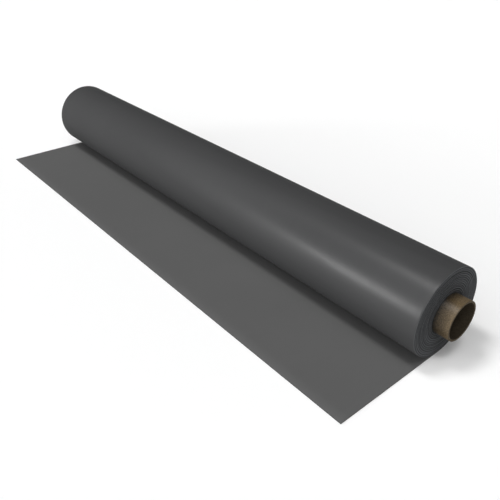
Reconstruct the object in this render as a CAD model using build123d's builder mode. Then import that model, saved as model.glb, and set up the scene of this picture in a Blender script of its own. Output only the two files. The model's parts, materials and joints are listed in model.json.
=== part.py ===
from build123d import *
import os

os.makedirs("parts", exist_ok=True)

# A roll of roofing membrane on its core tube, lying on the floor with its free end laid out flat.
# Millimetres, +Z up. X runs along the roll, the free end lies towards -Y and Z = 0 is the floor.

# sheet
sheet_width = 1600.0  # along the roll
sheet_thickness = 1.5
wound_turns = 39  # whole turns from the inner end to the line where the free end leaves the roll
free_length = 304.0  # flat free end, from that line to its cut edge
edge_ease = 0.35  # each slit edge stands back this far at both faces of the sheet

# core tube
core_diameter = 93.0
core_wall = 4.5
core_overhang = 36.0  # stands out of the roll at each end
core_clearance = 0.1  # between the tube and the first turn

# A wound sheet moves out by half its thickness in each half turn. So the roll is two half rolls
# about two axes half a thickness apart: the back half lies on the floor, the front half on the
# free end. They meet turn on turn at the top, and one turn further in at the bottom.
half_step = sheet_thickness / 2
wound_depth = wound_turns * sheet_thickness
front_bore = core_diameter / 2 + core_clearance
front_radius = front_bore + wound_depth
back_bore = front_bore + half_step
back_radius = front_radius + half_step
back_axis_z = back_radius
front_axis_z = back_axis_z + half_step

# the free end and the roll share the room to both sides of Y = 0 evenly
roll_y = (free_length - back_radius) / 2

# planes with X along the roll: two look down from the half rolls' axes, one across the free end
back_plane = Plane((0, roll_y, back_axis_z), x_dir=(1, 0, 0), z_dir=(0, 1, 0))
front_plane = Plane((0, roll_y, front_axis_z), x_dir=(1, 0, 0), z_dir=(0, 1, 0))
free_plane = Plane((0, roll_y, half_step), x_dir=(1, 0, 0), z_dir=(0, -1, 0))
core_plane = Plane((0, roll_y, front_axis_z), x_dir=(0, 1, 0), z_dir=(1, 0, 0))

# section across the sheet, with its slit edges eased to a low ridge
with BuildSketch() as sheet_section:
    with BuildLine():
        Polyline(
            (0, -half_step),
            (sheet_width / 2 - edge_ease, -half_step),
            (sheet_width / 2, 0),
            (sheet_width / 2 - edge_ease, half_step),
            (0, half_step),
        )
        mirror(about=Plane.YZ)
    make_face()

# the sheet: turn on turn in both half rolls, then out along the floor
with BuildPart() as membrane:
    with BuildSketch(back_plane):
        with Locations((0, back_bore + wound_depth / 2)):
            with GridLocations(0, sheet_thickness, 1, wound_turns):
                add(sheet_section.sketch)
    revolve(axis=Axis((0, roll_y, back_axis_z), (1, 0, 0)), revolution_arc=180)

    with BuildSketch(front_plane):
        with Locations((0, front_bore + wound_depth / 2)):
            with GridLocations(0, sheet_thickness, 1, wound_turns):
                add(sheet_section.sketch)
    revolve(axis=Axis((0, roll_y, front_axis_z), (1, 0, 0)), revolution_arc=-180)

    with BuildSketch(free_plane):
        add(sheet_section.sketch)
    extrude(amount=free_length)

# the paper tube that the sheet is wound on, with its first turn all round the front half
core_length = sheet_width + 2 * core_overhang

with BuildPart() as core_tube:
    with BuildSketch(core_plane):
        Circle(core_diameter / 2)
        Circle(core_diameter / 2 - core_wall, mode=Mode.SUBTRACT)
    extrude(amount=core_length / 2, both=True)

membrane.part.label = "membrane"
core_tube.part.label = "core_tube"

export_step(membrane.part, "parts/membrane.step")
export_step(core_tube.part, "parts/core_tube.step")
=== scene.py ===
"""The roll of roofing membrane, dressed: the wound sheet, its core tube, the studio and the camera."""

import json
import logging
import math
from collections.abc import Callable
from dataclasses import dataclass
from enum import IntEnum

import bpy
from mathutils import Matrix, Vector


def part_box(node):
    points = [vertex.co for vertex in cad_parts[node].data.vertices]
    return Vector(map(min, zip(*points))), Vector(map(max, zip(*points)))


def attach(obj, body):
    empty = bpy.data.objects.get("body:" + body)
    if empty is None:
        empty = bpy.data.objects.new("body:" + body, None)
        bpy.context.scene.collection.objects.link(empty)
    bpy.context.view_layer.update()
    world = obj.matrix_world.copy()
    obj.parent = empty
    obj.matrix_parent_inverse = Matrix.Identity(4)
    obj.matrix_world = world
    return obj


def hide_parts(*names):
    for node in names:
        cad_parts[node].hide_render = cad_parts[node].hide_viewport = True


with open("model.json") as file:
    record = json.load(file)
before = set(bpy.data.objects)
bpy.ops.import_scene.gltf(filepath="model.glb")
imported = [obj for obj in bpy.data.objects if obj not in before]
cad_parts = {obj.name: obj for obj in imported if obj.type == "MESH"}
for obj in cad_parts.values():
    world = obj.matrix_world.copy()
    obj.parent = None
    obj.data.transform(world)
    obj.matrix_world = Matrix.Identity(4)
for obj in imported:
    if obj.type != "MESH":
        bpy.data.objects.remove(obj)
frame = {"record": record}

LOG = logging.getLogger("membrane_roll")

MM = 0.001
TOLERANCE = 0.1 * MM  # places closer than this count as one
SMOOTH_ANGLE = math.radians(40)  # edges sharper than this stay sharp in the shading

Colour = tuple[float, float, float]
Point = tuple[float, float, float]
Span = tuple[float, float]
Socket = bpy.types.NodeSocket


class SheetSlot(IntEnum):
    """Material slots of the sheet, in the order in which thickening hands them out."""

    WEATHER_SIDE = 0
    UNDERSIDE = 1
    SLIT_EDGE = 2


class TubeSlot(IntEnum):
    """Material slots of the core tube."""

    WALL = 0
    BORE = 1
    CUT_RIM = 2


def shade(colour: Colour, share: float) -> Colour:
    """Gives a darker or paler shade of a colour."""
    return tuple(channel * share for channel in colour)


class Shading:
    """The node tree of one material, with short calls to add and join nodes.

    Attributes:
        NOISE_SPAN: the range in which most of a noise pattern lies.
        GLANCE_SPAN: facing values between which a view turns from an open one to a glancing one.
    """

    NOISE_SPAN: Span = (0.3, 0.7)
    GLANCE_SPAN: Span = (0.2, 0.45)

    def __init__(self, name: str) -> None:
        """Starts a material.

        Args:
            name: the material's name.
        """
        self.material = bpy.data.materials.new(name)
        self.material.use_nodes = True
        self.nodes = self.material.node_tree.nodes
        self.shader = self.nodes["Principled BSDF"]

    def add(self, kind: str, inputs: dict[str, object] | None = None,
            **settings: object) -> bpy.types.Node:
        """Adds a node.

        Args:
            kind: the node's type name.
            inputs: values for its unlinked sockets, by socket name.
            settings: values for its own settings.

        Returns:
            The new node.
        """
        node = self.nodes.new(kind)
        for key, value in settings.items():
            setattr(node, key, value)
        for key, value in (inputs or {}).items():
            node.inputs[key].default_value = value
        return node

    def join(self, source: Socket, target: Socket) -> None:
        """Links an output socket to an input socket."""
        self.material.node_tree.links.new(source, target)

    def feed(self, value: Socket | float, target: Socket) -> None:
        """Links an output socket to an input socket, or sets a plain number on it.

        Args:
            value: an output socket, or a number that holds all over the surface.
            target: the input socket.
        """
        if isinstance(value, Socket):
            self.join(value, target)
        else:
            target.default_value = value

    def place(self, offset: Point = (0, 0, 0), scale: Point = (1, 1, 1)) -> Socket:
        """Gives the object's own coordinates, moved and then stretched.

        Args:
            offset: the point that becomes the origin.
            scale: stretch along each axis.

        Returns:
            The vector output.
        """
        coordinates = self.add("ShaderNodeTexCoord")
        moved = self.add("ShaderNodeVectorMath", operation="SUBTRACT")
        moved.inputs[1].default_value = offset
        stretched = self.add("ShaderNodeVectorMath", operation="MULTIPLY")
        stretched.inputs[1].default_value = scale
        self.join(coordinates.outputs["Object"], moved.inputs[0])
        self.join(moved.outputs[0], stretched.inputs[0])
        return stretched.outputs[0]

    def split(self, vector: Socket) -> tuple[Socket, Socket, Socket]:
        """Splits a vector.

        Args:
            vector: the vector.

        Returns:
            Its parts along X, Y and Z.
        """
        node = self.add("ShaderNodeSeparateXYZ")
        self.join(vector, node.inputs[0])
        return node.outputs["X"], node.outputs["Y"], node.outputs["Z"]

    def length(self, vector: Socket) -> Socket:
        """Measures a vector.

        Args:
            vector: the vector.

        Returns:
            Its length.
        """
        node = self.add("ShaderNodeVectorMath", operation="LENGTH")
        self.join(vector, node.inputs[0])
        return node.outputs["Value"]

    def math(self, operation: str, first: Socket | float, second: Socket | float = 0.0) -> Socket:
        """Adds a sum.

        Args:
            operation: the sum's name.
            first: a socket or a number.
            second: a socket or a number.

        Returns:
            The result.
        """
        node = self.add("ShaderNodeMath", operation=operation)
        self.feed(first, node.inputs[0])
        self.feed(second, node.inputs[1])
        return node.outputs[0]

    def blend(self, *shares: tuple[Socket, float]) -> Socket:
        """Adds up patterns, each by its share.

        Args:
            shares: the patterns with their shares.

        Returns:
            The sum.
        """
        parts = [self.math("MULTIPLY", pattern, share) for pattern, share in shares]
        total = parts[0]
        for part in parts[1:]:
            total = self.math("ADD", total, part)
        return total

    def noise(self, where: Socket, cells: float, detail: float = 3.0, roughness: float = 0.5) -> Socket:
        """Adds a noise pattern.

        Args:
            where: the vector to read it at.
            cells: cells to the metre.
            detail: how many finer layers lie on it.
            roughness: how strong the finer layers are.

        Returns:
            The pattern's value, from 0 to 1.
        """
        node = self.add("ShaderNodeTexNoise", {"Scale": cells, "Detail": detail, "Roughness": roughness})
        self.join(where, node.inputs["Vector"])
        return node.outputs["Fac"]

    def remap(self, value: Socket, source: Span, target: Span) -> Socket:
        """Maps one range of a value to another and holds it at the ends.

        Args:
            value: the value to read.
            source: the range that it is read over.
            target: what the ends of that range become.

        Returns:
            The mapped value.
        """
        limits = {"From Min": source[0], "From Max": source[1], "To Min": target[0], "To Max": target[1]}
        node = self.add("ShaderNodeMapRange", limits)
        self.join(value, node.inputs["Value"])
        return node.outputs["Result"]

    def spread(self, pattern: Socket, target: Span) -> Socket:
        """Maps most of a noise pattern to a range."""
        return self.remap(pattern, self.NOISE_SPAN, target)

    def ramp(self, tone: Socket, stops: list[tuple[float, Colour]]) -> Socket:
        """Turns a tone into a colour.

        Args:
            tone: the tone to read.
            stops: tones with their colours, two or more.

        Returns:
            The colour output.
        """
        node = self.add("ShaderNodeValToRGB")
        elements = node.color_ramp.elements
        while len(elements) < len(stops):
            elements.new(0.5)
        for element, (position, colour) in zip(elements, stops):
            element.position = position
            element.color = (*colour, 1)
        self.join(tone, node.inputs["Fac"])
        return node.outputs["Color"]

    def drift(self, tone: Socket, span: Span, colour: Colour, share: float) -> Socket:
        """Lets a colour drift by a share to both sides of its mean, across a span of tones."""
        darkest, palest = span
        return self.ramp(tone, [(darkest, shade(colour, 1 - share)), (palest, shade(colour, 1 + share))])

    def gloss(self, facing: float, glancing: float) -> Socket:
        """Makes a roughness that rises from a facing view to a glancing one, where grain hides the gloss."""
        glance = self.add("ShaderNodeLayerWeight").outputs["Facing"]
        return self.remap(glance, self.GLANCE_SPAN, (facing, glancing))

    def relief(self, height: Socket, depth: float) -> Socket:
        """Adds fine relief.

        Args:
            height: the height pattern, from 0 to 1.
            depth: its full height in metres.

        Returns:
            The normal output.
        """
        node = self.add("ShaderNodeBump", {"Strength": 1.0, "Distance": depth})
        self.join(height, node.inputs["Height"])
        return node.outputs["Normal"]

    def finish(self, colour: Socket, roughness: Socket | float, relief: Socket,
               specular: float) -> bpy.types.Material:
        """Joins the patterns to the shader.

        Args:
            colour: the colour.
            roughness: a pattern, or a number that holds all over the surface.
            relief: the normal of the fine relief.
            specular: strength of the gloss.

        Returns:
            The finished material.
        """
        self.join(colour, self.shader.inputs["Base Color"])
        self.feed(roughness, self.shader.inputs["Roughness"])
        self.join(relief, self.shader.inputs["Normal"])
        self.shader.inputs["Specular IOR Level"].default_value = specular
        return self.material


@dataclass(frozen=True)
class PvcFace:
    """The finish of one face of the PVC sheet: faint clouds, rolling streaks and an embossed grain.

    Attributes:
        name: the material's name.
        colour: its mean colour.
        drift: the share by which the colour drifts over the sheet.
        roughness: from glossy, 0, to dull, 1.
        glancing_roughness: the same where the grain is seen at a glancing angle and hides the gloss.
        specular: strength of its gloss.
        grain_depth: height of the embossed grain in metres.
        grain_cells: grains to the metre.
        streak_cells: rolling streaks to the metre.
        streak_stretch: share that the streaks' pattern keeps of its pace along the sheet's length.
        streak_gloss: how far the streaks move the roughness, up or down.
        cloud_cells: clouds to the metre.
        cloud_share: how much the clouds count in the tone.
        streak_share: how much the streaks count in it.
        grain_share: how much the grain counts in it.
        tone_span: the tones at which the colour is darkest and palest.
    """

    name: str
    colour: Colour
    drift: float
    roughness: float
    glancing_roughness: float
    specular: float
    grain_depth: float
    grain_cells: float = 1100.0
    streak_cells: float = 70.0
    streak_stretch: float = 0.02
    streak_gloss: float = 0.025
    cloud_cells: float = 5.0
    cloud_share: float = 0.5
    streak_share: float = 0.3
    grain_share: float = 0.2
    tone_span: Span = (0.35, 0.65)

    def material(self) -> bpy.types.Material:
        """Builds the material.

        Returns:
            The finished material.
        """
        shading = Shading(self.name)
        cloud = shading.noise(shading.place(), self.cloud_cells)
        drawn_out = shading.place(scale=(1.0, self.streak_stretch, self.streak_stretch))
        streak = shading.noise(drawn_out, self.streak_cells)
        grain = shading.noise(shading.place(), self.grain_cells, detail=2.0)
        tone = shading.blend((cloud, self.cloud_share), (streak, self.streak_share),
                             (grain, self.grain_share))
        colour = shading.drift(tone, self.tone_span, self.colour, self.drift)
        dullness = shading.gloss(self.roughness, self.glancing_roughness)
        unevenness = shading.spread(streak, (-self.streak_gloss, self.streak_gloss))
        dullness = shading.math("ADD", dullness, unevenness)
        return shading.finish(colour, dullness, shading.relief(grain, self.grain_depth), self.specular)


@dataclass(frozen=True)
class SlitEdge:
    """The finish of the sheet's slit edges, whose turns differ a little in tone, with shade painted towards
    the core.

    Attributes:
        name: the material's name.
        colour: its mean colour.
        drift: the share by which the colour differs from turn to turn.
        axis: a point on the roll's axis, from which the turns are counted.
        turn: thickness of one turn in metres.
        inner_radius: radius of the first turn.
        outer_radius: radius of the last turn.
        start_depth: how deep the sheet's middle lies where its free end leaves the roll, in turns.
        swing_turns: turns in which the tone swings from dark to pale and back.
        swing_share: how much that swing counts in the tone.
        ring_cells: cells to the turn of the noise along the wound sheet.
        ring_share: how much that noise counts in the tone.
        grain_cells: grains of the cut to the metre.
        grain_share: how much the grain counts in the tone.
        grain_depth: height of the grain in metres.
        outward_shade: painted shade, added to the tone at the first turn and at the last: darker near the
            core, paler outwards.
        core_shade_turns: turns beside the core over which shade is painted.
        core_shade: how far the painted shade darkens the first turn's tone.
        tone_span: the tones at which the colour is darkest and palest.
        roughness_span: the grain's least and greatest roughness.
        specular: strength of its gloss.
    """

    name: str
    colour: Colour
    drift: float
    axis: Point
    turn: float
    inner_radius: float
    outer_radius: float
    start_depth: float = 0.25
    swing_turns: float = 2.8
    swing_share: float = 0.2
    ring_cells: float = 1.7
    ring_share: float = 0.5
    grain_cells: float = 900.0
    grain_share: float = 0.5
    grain_depth: float = 0.06 * MM
    outward_shade: Span = (-0.03, 0.04)
    core_shade_turns: float = 12.0
    core_shade: float = 0.17
    tone_span: Span = (0.3, 0.7)
    roughness_span: Span = (0.75, 0.9)
    specular: float = 0.12

    def material(self) -> bpy.types.Material:
        """Builds the material.

        Returns:
            The finished material.
        """
        shading = Shading(self.name)
        across = shading.place(offset=self.axis, scale=(0, 1, 1))
        radius = shading.math("MINIMUM", shading.length(across), self.outer_radius)
        wound = self._turns_wound(shading, across, radius)
        ring_noise = {"Scale": self.ring_cells, "Detail": 1.0}
        rings = shading.add("ShaderNodeTexNoise", ring_noise, noise_dimensions="1D")
        shading.join(wound, rings.inputs["W"])
        swing = shading.math("SINE", shading.math("MULTIPLY", wound, math.tau / self.swing_turns))
        grain = shading.noise(shading.place(), self.grain_cells)
        tone = shading.blend((rings.outputs["Fac"], self.ring_share), (grain, self.grain_share),
                             (swing, self.swing_share))
        # painted shade: the tone rises from the core outwards
        outwards = shading.remap(radius, (self.inner_radius, self.outer_radius), self.outward_shade)
        tone = shading.math("ADD", tone, outwards)
        # painted shade: the edges darken towards the core, as if the core tube shaded them
        unshaded_radius = self.inner_radius + self.core_shade_turns * self.turn
        core_shade = shading.remap(radius, (self.inner_radius, unshaded_radius), (self.core_shade, 0.0))
        tone = shading.math("SUBTRACT", tone, core_shade)
        colour = shading.drift(tone, self.tone_span, self.colour, self.drift)
        roughness = shading.spread(grain, self.roughness_span)
        return shading.finish(colour, roughness, shading.relief(grain, self.grain_depth), self.specular)

    def _turns_wound(self, shading: Shading, across: Socket, radius: Socket) -> Socket:
        """Counts the turns from the free end to a place on the edge.

        Args:
            shading: the material that the count is added to.
            across: the place, across the roll from its axis.
            radius: its distance from the axis.

        Returns:
            The whole turns and the part of the next one.
        """
        _, back, up = shading.split(across)
        angle = shading.math("ARCTAN2", back, shading.math("MULTIPLY", up, -1.0))
        part = shading.math("DIVIDE", angle, math.tau)
        depth = shading.math("DIVIDE", shading.math("SUBTRACT", self.outer_radius, radius), self.turn)
        wound = shading.math("SUBTRACT", depth, self.start_depth)
        whole = shading.math("ROUND", shading.math("SUBTRACT", wound, part))
        return shading.math("ADD", whole, part)


@dataclass(frozen=True)
class PaintedShade:
    """Shade painted on the tube's paper just past the end of the roll, where the roll shades it.

    Attributes:
        start: where the roll ends, from the tube's middle.
        heights: heights above the tube's axis, between which depth and reach change.
        depth: how far it darkens the paper's tone, at those heights.
        reach: how far past the roll it reaches, at those heights.
        rim_depth: how much deeper it is right beside the roll.
        rim_reach: how far that reaches.
    """

    start: float
    heights: Span
    depth: Span
    reach: Span
    rim_depth: float
    rim_reach: float

    def darkness(self, shading: Shading, along: Socket, up: Socket) -> Socket:
        """Works out how dark the painted shade is.

        Args:
            shading: the material that it is added to.
            along: place along the tube, from its middle.
            up: height above the tube's axis.

        Returns:
            How far the paper's tone falls.
        """
        past = shading.math("SUBTRACT", shading.math("ABSOLUTE", along), self.start)
        reach = shading.remap(up, self.heights, self.reach)
        depth = shading.remap(up, self.heights, self.depth)
        fade = shading.remap(shading.math("DIVIDE", past, reach), (0.0, 1.0), (1.0, 0.0))
        rim = shading.remap(past, (0.0, self.rim_reach), (self.rim_depth, 0.0))
        return shading.math("ADD", shading.math("MULTIPLY", fade, depth), rim)


@dataclass(frozen=True)
class KraftPaper:
    """The finish of the core tube's paper: brown, blotched, with the seam of its wound strip.

    Attributes:
        name: the material's name.
        dark: colour of the blotches.
        pale: colour between them.
        roughness: from glossy, 0, to dull, 1.
        specular: strength of its gloss.
        axis: a point on the tube's axis.
        strip_pitch: how far the seam moves along the tube in one turn, in metres.
        painted_shade: shade painted on the paper beside the roll, if it has any.
        painted_shade_share: the share of the dark colour that is left where the painted shade is deepest.
        tones: the tones of the deepest painted shade, the dark colour and the pale one.
        blotch_cells: blotches to the metre.
        blotch_roughness: how strong their finer layers are.
        blotch_share: how much the blotches count in the tone.
        fibre_cells: fibres to the metre, round the tube.
        fibre_stretch: share that the fibres' pattern keeps of its pace along the tube.
        fibre_share: how much the fibres count in the tone.
        fibre_depth: height of the fibres in metres.
        groove_width: width of the seam's groove, as a share of the pitch.
        groove_depth: depth of the groove, in fibre heights.
        groove_tone: how far the groove darkens the tone.
    """

    name: str
    dark: Colour
    pale: Colour
    roughness: float
    specular: float
    axis: Point
    strip_pitch: float
    painted_shade: PaintedShade | None = None
    painted_shade_share: float = 0.15
    tones: tuple[float, float, float] = (0.1, 0.39, 0.71)
    blotch_cells: float = 400.0
    blotch_roughness: float = 0.6
    blotch_share: float = 0.8
    fibre_cells: float = 1400.0
    fibre_stretch: float = 0.35
    fibre_share: float = 0.3
    fibre_depth: float = 0.12 * MM
    groove_width: float = 0.006
    groove_depth: float = 1.5
    groove_tone: float = 0.15

    def material(self) -> bpy.types.Material:
        """Builds the material.

        Returns:
            The finished material.
        """
        shading = Shading(self.name)
        centred = shading.place(offset=self.axis)
        along, back, up = shading.split(centred)
        groove = self._seam_groove(shading, along, back, up)
        blotch = shading.noise(centred, self.blotch_cells, roughness=self.blotch_roughness)
        drawn_out = shading.place(offset=self.axis, scale=(self.fibre_stretch, 1, 1))
        fibre = shading.noise(drawn_out, self.fibre_cells)
        tone = shading.blend((blotch, self.blotch_share), (fibre, self.fibre_share),
                             (groove, -self.groove_tone))
        # painted shade: the paper darkens towards the roll, as if the roll shaded it
        if self.painted_shade is not None:
            tone = shading.math("SUBTRACT", tone, self.painted_shade.darkness(shading, along, up))
        colours = (shade(self.dark, self.painted_shade_share), self.dark, self.pale)
        colour = shading.ramp(tone, list(zip(self.tones, colours)))
        height = shading.blend((fibre, 1.0), (groove, -self.groove_depth))
        relief = shading.relief(height, self.fibre_depth)
        return shading.finish(colour, shading.gloss(self.roughness, 1.0), relief, self.specular)

    def _seam_groove(self, shading: Shading, along: Socket, back: Socket, up: Socket) -> Socket:
        """Finds the groove where one winding of the strip meets the next.

        Args:
            shading: the material that it is added to.
            along: place along the tube.
            back: place across the tube, from its axis.
            up: height above its axis.

        Returns:
            1 in the groove and 0 beside it.
        """
        angle = shading.math("DIVIDE", shading.math("ARCTAN2", up, back), math.tau)
        pitches = shading.math("DIVIDE", along, self.strip_pitch)
        seam = shading.math("FRACT", shading.math("ADD", pitches, angle))
        return shading.math("LESS_THAN", seam, self.groove_width)


@dataclass(frozen=True)
class CutPaper:
    """The finish of the tube's sawn rims: paper plies, one inside the other.

    Attributes:
        name: the material's name.
        dark: colour of the glue lines.
        pale: colour of the cut plies.
        axis: a point on the tube's axis.
        ply: thickness of one ply in metres.
        ply_share: how much the plies count in the tone.
        fuzz_cells: cells of the paper's fuzz to the metre.
        fuzz_depth: height of the fuzz in metres.
        tone_span: the tones of the glue lines and of the plies.
        roughness: from glossy, 0, to dull, 1.
        specular: strength of its gloss.
    """

    name: str
    dark: Colour
    pale: Colour
    axis: Point
    ply: float
    ply_share: float = 0.16
    fuzz_cells: float = 1800.0
    fuzz_depth: float = 0.15 * MM
    tone_span: Span = (0.35, 0.65)
    roughness: float = 0.9
    specular: float = 0.1

    def material(self) -> bpy.types.Material:
        """Builds the material.

        Returns:
            The finished material.
        """
        shading = Shading(self.name)
        radius = shading.length(shading.place(offset=self.axis, scale=(0, 1, 1)))
        plies = shading.math("SINE", shading.math("MULTIPLY", radius, math.tau / self.ply))
        fuzz = shading.noise(shading.place(), self.fuzz_cells)
        tone = shading.blend((plies, self.ply_share), (fuzz, 1.0))
        colour = shading.ramp(tone, list(zip(self.tone_span, (self.dark, self.pale))))
        return shading.finish(colour, self.roughness, shading.relief(tone, self.fuzz_depth), self.specular)


def core_mount() -> dict:
    """Finds the core tube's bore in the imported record."""
    return next(mount for mount in frame["record"]["mounts"] if mount["name"] == "core_bore")


def core_axis() -> Point:
    """Gives the middle of the core tube's axis."""
    return tuple(core_mount()["pos_m"])


def start_piece(name: str) -> bpy.types.Object:
    """Takes the primitive just added as a piece.

    Args:
        name: the piece's name.

    Returns:
        The piece, with its place applied to its mesh.
    """
    piece = bpy.context.active_object
    piece.name = name
    piece.data.name = name
    bpy.ops.object.transform_apply(location=True, rotation=True, scale=True)
    return piece


def select_edges(piece: bpy.types.Object, wanted: Callable[[bpy.types.MeshEdge], bool]) -> None:
    """Selects edges of a piece by a test, and nothing else.

    Args:
        piece: the piece, which is in edit mode before and after.
        wanted: the test for one edge.
    """
    bpy.ops.mesh.select_mode(type="EDGE")
    bpy.ops.mesh.select_all(action="DESELECT")
    bpy.ops.object.mode_set(mode="OBJECT")
    for edge in piece.data.edges:
        edge.select = wanted(edge)
    bpy.ops.object.mode_set(mode="EDIT")


def edge_slots(piece: bpy.types.Object) -> dict[tuple[int, int], set[int]]:
    """Finds which material slots meet at each edge.

    Args:
        piece: the piece, in object mode.

    Returns:
        The slots of the faces at each edge, by the edge's key.
    """
    slots: dict[tuple[int, int], set[int]] = {}
    for face in piece.data.polygons:
        for key in face.edge_keys:
            slots.setdefault(key, set()).add(face.material_index)
    return slots


def apply_modifier(piece: bpy.types.Object, kind: str, **settings: object) -> None:
    """Adds a modifier to the active piece and applies it.

    Args:
        piece: the piece, active and in object mode.
        kind: the modifier's type name.
        settings: the modifier's settings.
    """
    modifier = piece.modifiers.new(kind.lower(), kind)
    for key, value in settings.items():
        setattr(modifier, key, value)
    bpy.ops.object.modifier_apply(modifier=modifier.name)


@dataclass
class MembraneSheet:
    """The sheet: wound turn on turn round the core tube, its free end laid out on the floor.

    A wound sheet moves out by half its pitch in each half turn, so its back halves turn about one
    axis and its front halves about another, half a pitch higher.

    Attributes:
        width: the sheet's width, along the roll.
        free_length: length of the flat free end.
        roll_y: where the roll's axes lie across the floor.
        outer_radius: radius of the outermost back half, which lies on the floor.
        turns: how many whole turns are wound.
        pitch: from one turn to the next.
        thickness: the sheet's own thickness, a hair less than the pitch.
        edge_ease: radius of its slit edges' corners.
        edge_band: width of the band beside each slit edge that keeps the face flat up to it.
        width_steps: faces across the sheet, before the bands are cut.
        free_steps: faces along the free end.
        half_turn_steps: flats in each half turn.
        wander: how far a wave of strength 1 moves a turn's edge in or out of the end of the roll.
        waves: the wander's waves, each with its strength and its length in turns.
        near_phase: where the waves start at the near end.
        far_phase: where they start at the far end.
    """

    width: float
    free_length: float
    roll_y: float
    outer_radius: float
    turns: int
    pitch: float = 1.5 * MM
    thickness: float = 1.46 * MM
    edge_ease: float = 0.3 * MM
    edge_band: float = 4.0 * MM
    width_steps: int = 2
    free_steps: int = 12
    half_turn_steps: int = 48
    wander: float = 0.3 * MM
    waves: tuple[Span, ...] = ((1.0, 2.7), (0.8, 5.9), (0.6, 1.31))
    near_phase: float = 1.7
    far_phase: float = 4.1

    @classmethod
    def from_frame(cls) -> "MembraneSheet":
        """Takes the sheet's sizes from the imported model.

        Returns:
            The sheet, not yet built.
        """
        low, high = (Vector(corner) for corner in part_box("membrane"))
        core_low, core_high = (Vector(corner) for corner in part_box("core_tube"))
        roll_y = core_axis()[1]
        outer_radius = (high.z - low.z) / 2
        core_radius = (core_high.y - core_low.y) / 2
        turns = int((outer_radius - cls.pitch / 2 - core_radius) / cls.pitch)
        return cls(width=high.x - low.x, free_length=roll_y - low.y, roll_y=roll_y,
                   outer_radius=outer_radius, turns=turns)

    @property
    def back_axis_z(self) -> float:
        """Height of the back halves' axis."""
        return self.outer_radius

    @property
    def front_axis_z(self) -> float:
        """Height of the front halves' axis."""
        return self.back_axis_z + self.pitch / 2

    @property
    def middle_axis_z(self) -> float:
        """Height of the line midway between the two axes."""
        return (self.back_axis_z + self.front_axis_z) / 2

    @property
    def flat_length(self) -> float:
        """Adds up the length of the sheet unrolled, along its middle.

        Returns:
            The length in metres.
        """
        back = sum(self.outer_radius - (k + 0.5) * self.pitch for k in range(self.turns))
        front = sum(self.outer_radius - (k + 1) * self.pitch for k in range(self.turns))
        return self.free_length + math.pi * (back + front)

    def build(self) -> bpy.types.Object:
        """Models the sheet and dresses it.

        Returns:
            The finished piece.
        """
        sheet = self._lay_free_end()
        self._wind(sheet)
        self._let_edges_wander(sheet)
        self._dress(sheet)
        apply_modifier(sheet, "SOLIDIFY", thickness=self.thickness, offset=0,
                       material_offset=SheetSlot.UNDERSIDE, material_offset_rim=SheetSlot.SLIT_EDGE)
        self._ease_edges(sheet)
        bpy.ops.object.shade_smooth_by_angle(angle=SMOOTH_ANGLE)
        return sheet

    def _lay_free_end(self) -> bpy.types.Object:
        """Lays out the flat free end, with a narrow band along each slit edge.

        Returns:
            The piece so far.
        """
        bpy.ops.object.select_all(action="DESELECT")
        bpy.ops.mesh.primitive_grid_add(x_subdivisions=self.width_steps, y_subdivisions=self.free_steps,
                                        size=1.0)
        sheet = bpy.context.active_object
        sheet.scale = (self.width, self.free_length, 1)
        sheet.location = (0, self.roll_y - self.free_length / 2, self.pitch / 2)
        sheet = start_piece("membrane_sheet")
        bpy.ops.object.mode_set(mode="EDIT")
        for side in (-1, 1):
            bpy.ops.mesh.select_all(action="SELECT")
            band = side * (self.width / 2 - self.edge_band)
            bpy.ops.mesh.bisect(plane_co=(band, 0, 0), plane_no=(1, 0, 0))
        bpy.ops.object.mode_set(mode="OBJECT")
        return sheet

    def _wind(self, sheet: bpy.types.Object) -> None:
        """Winds the turns: all back halves by one spin, then all front halves, joined where they meet.

        Args:
            sheet: the piece, with its free end laid out.
        """
        vertices = sheet.data.vertices
        line = self.roll_y - TOLERANCE
        bpy.ops.object.mode_set(mode="EDIT")
        select_edges(sheet, lambda edge: all(vertices[v].co.y > line for v in edge.vertices))
        for _ in range(self.turns - 1):
            bpy.ops.mesh.duplicate()
            bpy.ops.transform.translate(value=(0, 0, self.pitch))
        select_edges(sheet, lambda edge: all(vertices[v].co.y > line for v in edge.vertices))
        for axis_z in (self.back_axis_z, self.front_axis_z):
            bpy.ops.mesh.spin(steps=self.half_turn_steps, angle=-math.pi, use_auto_merge=False,
                              center=(0, self.roll_y, axis_z), axis=(1, 0, 0))
        bpy.ops.mesh.select_all(action="SELECT")
        bpy.ops.mesh.remove_doubles(threshold=TOLERANCE)
        bpy.ops.mesh.normals_make_consistent(inside=False)
        bpy.ops.object.mode_set(mode="OBJECT")
        flat = min(sheet.data.polygons, key=lambda face: face.center.y)
        if flat.normal.z < 0:
            bpy.ops.object.mode_set(mode="EDIT")
            bpy.ops.mesh.flip_normals()
            bpy.ops.object.mode_set(mode="OBJECT")

    def _let_edges_wander(self, sheet: bpy.types.Object) -> None:
        """Moves the turns' edges a little along the roll, because no sheet is wound quite straight.

        Args:
            sheet: the piece, wound.
        """
        band = self.width / 2 - self.edge_band - TOLERANCE
        for vertex in sheet.data.vertices:
            radius = math.hypot(vertex.co.y - self.roll_y, vertex.co.z - self.middle_axis_z)
            turn = (self.outer_radius - radius) / self.pitch
            if abs(vertex.co.x) > band and turn > 0:
                phase = self.near_phase if vertex.co.x > 0 else self.far_phase
                vertex.co.x += self.wander * self._sway(turn, phase) * min(turn, 1.0)

    def _sway(self, turn: float, phase: float) -> float:
        """Adds up the waves of the wander.

        Args:
            turn: turns in from the outside.
            phase: where the waves start.

        Returns:
            The sway, as a multiple of the wander.
        """
        sway = 0.0
        for number, (strength, length) in enumerate(self.waves, start=1):
            sway += strength * math.sin(math.tau * turn / length + number * phase)
        return sway

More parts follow.
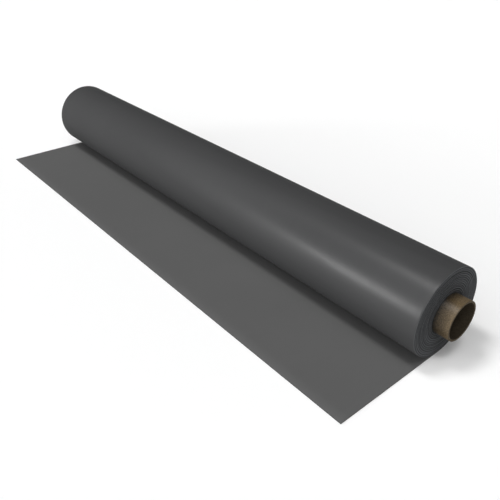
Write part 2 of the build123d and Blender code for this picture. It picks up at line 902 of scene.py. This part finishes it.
    def _ease_edges(self, sheet: bpy.types.Object) -> None:
        """Rounds the corners between the sheet's faces and its cut edges.

        Args:
            sheet: the piece, thickened.
        """
        slots = edge_slots(sheet)
        corners = {key for key, met in slots.items() if SheetSlot.SLIT_EDGE in met and len(met) > 1}
        bpy.ops.object.mode_set(mode="EDIT")
        select_edges(sheet, lambda edge: edge.key in corners)
        bpy.ops.mesh.bevel(offset=self.edge_ease, segments=2, affect="EDGES", clamp_overlap=True,
                           material=SheetSlot.SLIT_EDGE)
        bpy.ops.object.mode_set(mode="OBJECT")

    def _dress(self, sheet: bpy.types.Object) -> None:
        """Gives the sheet its three finishes.

        Args:
            sheet: the piece.
        """
        weather_side = PvcFace("pvc_weather_side", colour=(0.101, 0.101, 0.101), drift=0.03, roughness=0.62,
                               glancing_roughness=0.9, specular=0.15, grain_depth=0.03 * MM)
        underside = PvcFace("pvc_underside", colour=(0.0441, 0.0446, 0.0454), drift=0.03, roughness=0.34,
                            glancing_roughness=0.95, specular=0.196, grain_depth=0.012 * MM)
        slit_edge = SlitEdge("pvc_slit_edge", colour=(0.0546, 0.0567, 0.0595), drift=0.7,
                             axis=(0, self.roll_y, self.middle_axis_z), turn=self.pitch,
                             inner_radius=self.outer_radius - self.turns * self.pitch,
                             outer_radius=self.outer_radius)
        for finish in (weather_side, underside, slit_edge):
            sheet.data.materials.append(finish.material())


@dataclass
class CoreTube:
    """The paper tube that the sheet is wound on, standing out of both ends of the roll.

    Attributes:
        axis: a point on its axis.
        length: its length.
        rolled_length: how much of it the sheet covers.
        outer_radius: radius outside.
        bore_radius: radius inside.
        plies: paper plies that show on its cut rims.
        ply_step: how far every other line between plies stands back on the rim.
        rim_ease: radius of the rims' corners.
        sides: flats round the tube.
    """

    axis: Point
    length: float
    rolled_length: float
    outer_radius: float
    bore_radius: float
    plies: int = 9
    ply_step: float = 0.12 * MM
    rim_ease: float = 0.25 * MM
    sides: int = 128

    @classmethod
    def from_frame(cls) -> "CoreTube":
        """Takes the tube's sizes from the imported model.

        Returns:
            The tube, not yet built.
        """
        low, high = (Vector(corner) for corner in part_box("core_tube"))
        sheet_low, sheet_high = (Vector(corner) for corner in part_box("membrane"))
        return cls(axis=core_axis(), length=high.x - low.x, rolled_length=sheet_high.x - sheet_low.x,
                   outer_radius=(high.y - low.y) / 2, bore_radius=core_mount()["dims"]["r_mm"] * MM)

    @property
    def wall(self) -> float:
        """Thickness of its wall."""
        return self.outer_radius - self.bore_radius

    @property
    def ply(self) -> float:
        """Thickness of one ply."""
        return self.wall / self.plies

    def build(self) -> bpy.types.Object:
        """Models the tube and dresses it.

        Returns:
            The finished piece.
        """
        bpy.ops.object.select_all(action="DESELECT")
        bpy.ops.mesh.primitive_cylinder_add(vertices=self.sides, radius=self.outer_radius - self.wall / 2,
                                            depth=self.length, end_fill_type="NOTHING",
                                            location=self.axis, rotation=(0, math.pi / 2, 0))
        tube = start_piece("paper_core_tube")
        self._dress(tube)
        apply_modifier(tube, "SOLIDIFY", thickness=self.wall, offset=0, material_offset=TubeSlot.BORE,
                       material_offset_rim=TubeSlot.CUT_RIM)
        self._part_plies(tube)
        bpy.ops.object.shade_smooth_by_angle(angle=SMOOTH_ANGLE)
        return tube

    def _part_plies(self, tube: bpy.types.Object) -> None:
        """Cuts the rims into plies, rounds their corners and sets every other line between plies back.

        Args:
            tube: the piece, with its wall.
        """
        slots = edge_slots(tube)
        bpy.ops.object.mode_set(mode="EDIT")
        select_edges(tube, lambda edge: slots[edge.key] == {TubeSlot.CUT_RIM})
        bpy.ops.mesh.subdivide(number_cuts=self.plies - 1)
        bpy.ops.object.mode_set(mode="OBJECT")
        slots = edge_slots(tube)
        bpy.ops.object.mode_set(mode="EDIT")
        select_edges(tube, lambda edge: len(slots[edge.key]) > 1)
        bpy.ops.mesh.bevel(offset=self.rim_ease, segments=2, affect="EDGES", material=TubeSlot.CUT_RIM)
        bpy.ops.object.mode_set(mode="OBJECT")
        for vertex in tube.data.vertices:
            radius = math.hypot(vertex.co.y - self.axis[1], vertex.co.z - self.axis[2])
            line = round((radius - self.bore_radius) / self.ply)
            if 0 < line < self.plies and line % 2:
                vertex.co.x -= math.copysign(self.ply_step, vertex.co.x)

    def _dress(self, tube: bpy.types.Object) -> None:
        """Gives the tube its finishes.

        Args:
            tube: the piece.
        """
        # painted shade on the tube beside each end of the roll: deeper and longer low down than on top,
        # deepest within 9 mm of the roll
        painted_shade = PaintedShade(start=self.rolled_length / 2, heights=(-self.outer_radius / 2, self.outer_radius),
                      depth=(0.36, 0.3), reach=(50 * MM, 25 * MM), rim_depth=0.18, rim_reach=9 * MM)
        wall = KraftPaper("kraft_paper", dark=(0.0673, 0.0465, 0.0231), pale=(0.146, 0.1045, 0.0563),
                          roughness=0.33, specular=0.34, axis=self.axis, strip_pitch=190 * MM, painted_shade=painted_shade)
        # painted shade: the bore's paper is the wall's kraft darkened to between a quarter and a third, for
        # the shade inside the tube
        bore = KraftPaper("bore_paper_painted_shade", dark=(0.022, 0.017, 0.0105), pale=(0.04, 0.032, 0.0215),
                          roughness=0.85, specular=0.1, axis=self.axis, strip_pitch=-160 * MM)
        rim = CutPaper("cut_paper", dark=(0.058, 0.046, 0.03), pale=(0.088, 0.07, 0.047), axis=self.axis,
                       ply=self.ply)
        for finish in (wall, bore, rim):
            tube.data.materials.append(finish.material())


@dataclass(frozen=True)
class Lamp:
    """A distant soft lamp.

    Attributes:
        name: the lamp's name.
        towards: direction from the object to the lamp.
        level: how bright a white surface that faces it becomes.
        softness: the lamp's width as seen from the object, in degrees.
    """

    name: str
    towards: Point
    level: float
    softness: float

    def hang(self) -> None:
        """Adds the lamp to the scene."""
        light = bpy.data.lights.new(self.name, "SUN")
        light.energy = self.level * math.pi
        light.angle = math.radians(self.softness)
        lamp = bpy.data.objects.new(self.name, light)
        lamp.rotation_euler = Vector(self.towards).to_track_quat("Z", "Y").to_euler()
        bpy.context.scene.collection.objects.link(lamp)


@dataclass(frozen=True)
class Studio:
    """Floor, light and camera.

    Attributes:
        roll_y: where the roll's axis lies across the floor.
        floor_size: side of the floor.
        floor_grey: the floor's colour.
        horizon_grey: light that comes from the pale horizon all round.
        overhead_grey: light that comes from overhead, apart from the lamps.
        fade: heights, as sines, between which the horizon fades into the light overhead.
        key: the lamp from above.
        top: the lamp beside it, towards the near end.
        middle: the weak lamp between the key and the fill.
        fill: the low lamp from the front.
        soft_box: the wide lamp from above the front.
        camera_offset: the camera's place, from the floor under the middle of the roll's axis.
        azimuth: the camera's turn about the object, in degrees.
        elevation: its height above the object, in degrees.
        lens: its focal length in millimetres.
        sensor: width of its picture in millimetres.
    """

    roll_y: float
    floor_size: float = 600.0
    floor_grey: float = 0.98
    horizon_grey: float = 1.0
    overhead_grey: float = 0.0
    fade: Span = (0.1, 0.5)
    key: Lamp = Lamp("key_lamp", towards=(-0.29, -0.261, 0.92), level=0.33, softness=14.0)
    top: Lamp = Lamp("top_lamp", towards=(0.25, -0.27, 0.93), level=0.18, softness=12.0)
    middle: Lamp = Lamp("middle_lamp", towards=(-0.45, -0.66, 0.6), level=0.1, softness=45.0)
    fill: Lamp = Lamp("fill_lamp", towards=(-0.48, -0.869, 0.117), level=0.455, softness=18.0)
    soft_box: Lamp = Lamp("soft_box", towards=(0.28, -0.53, 0.8), level=0.45, softness=80.0)
    camera_offset: Point = (1.2412, -0.8923, 0.8338)
    azimuth: float = 50.05
    elevation: float = 32.28
    lens: float = 40.92
    sensor: float = 36.0

    def build(self) -> None:
        """Adds the floor, the light and the camera."""
        self._lay_floor()
        for lamp in (self.key, self.top, self.middle, self.fill, self.soft_box):
            lamp.hang()
        self._light_all_round()
        self._set_camera()
        bpy.context.scene.view_settings.view_transform = "Standard"

    def _lay_floor(self) -> None:
        """Lays a plain pale floor."""
        bpy.ops.object.select_all(action="DESELECT")
        bpy.ops.mesh.primitive_plane_add(size=self.floor_size)
        floor = start_piece("floor")
        shading = Shading("pale_floor")
        shading.shader.inputs["Base Color"].default_value = (*(self.floor_grey,) * 3, 1)
        shading.shader.inputs["Roughness"].default_value = 1.0
        shading.shader.inputs["Specular IOR Level"].default_value = 0.0
        floor.data.materials.append(shading.material)

    def _light_all_round(self) -> None:
        """Sets the light all round, pale at the horizon and dark overhead."""
        world = bpy.data.worlds.new("studio")
        world.use_nodes = True
        nodes = world.node_tree.nodes
        direction = nodes.new("ShaderNodeTexCoord")
        parts = nodes.new("ShaderNodeSeparateXYZ")
        grey = nodes.new("ShaderNodeMapRange")
        grey.interpolation_type = "SMOOTHSTEP"
        limits = ("From Min", "From Max", "To Min", "To Max")
        for name, value in zip(limits, (*self.fade, self.horizon_grey, self.overhead_grey)):
            grey.inputs[name].default_value = value
        join = world.node_tree.links.new
        join(direction.outputs["Generated"], parts.inputs[0])
        join(parts.outputs["Z"], grey.inputs["Value"])
        join(grey.outputs["Result"], nodes["Background"].inputs["Color"])
        bpy.context.scene.world = world

    def _set_camera(self) -> None:
        """Sets the camera at the photograph's viewing angle."""
        turn, rise = math.radians(self.azimuth), math.radians(self.elevation)
        level = math.cos(rise)
        back = Vector((math.sin(turn) * level, -math.cos(turn) * level, math.sin(rise)))
        data = bpy.data.cameras.new("camera")
        data.lens = self.lens
        data.sensor_width = self.sensor
        camera = bpy.data.objects.new("camera", data)
        camera.location = Vector((0, self.roll_y, 0)) + Vector(self.camera_offset)
        camera.rotation_euler = back.to_track_quat("Z", "Y").to_euler()
        bpy.context.scene.collection.objects.link(camera)
        bpy.context.scene.camera = camera


def main() -> None:
    """Builds the pieces in order and the studio round them, and logs the pieces' faces and the sheet's turns
    and length.
    """
    logging.basicConfig(level=logging.INFO, format="%(name)s: %(message)s")
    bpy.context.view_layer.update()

    sheet_plan = MembraneSheet.from_frame()
    sheet = sheet_plan.build()
    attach(sheet, "root")
    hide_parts("membrane")
    LOG.info("%s: %d faces, %d turns, %.2f m long", sheet.name, len(sheet.data.polygons),
             sheet_plan.turns, sheet_plan.flat_length)

    tube = CoreTube.from_frame().build()
    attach(tube, "root")
    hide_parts("core_tube")
    LOG.info("%s: %d faces", tube.name, len(tube.data.polygons))

    Studio(roll_y=sheet_plan.roll_y).build()


if __name__ == "__main__":
    main()
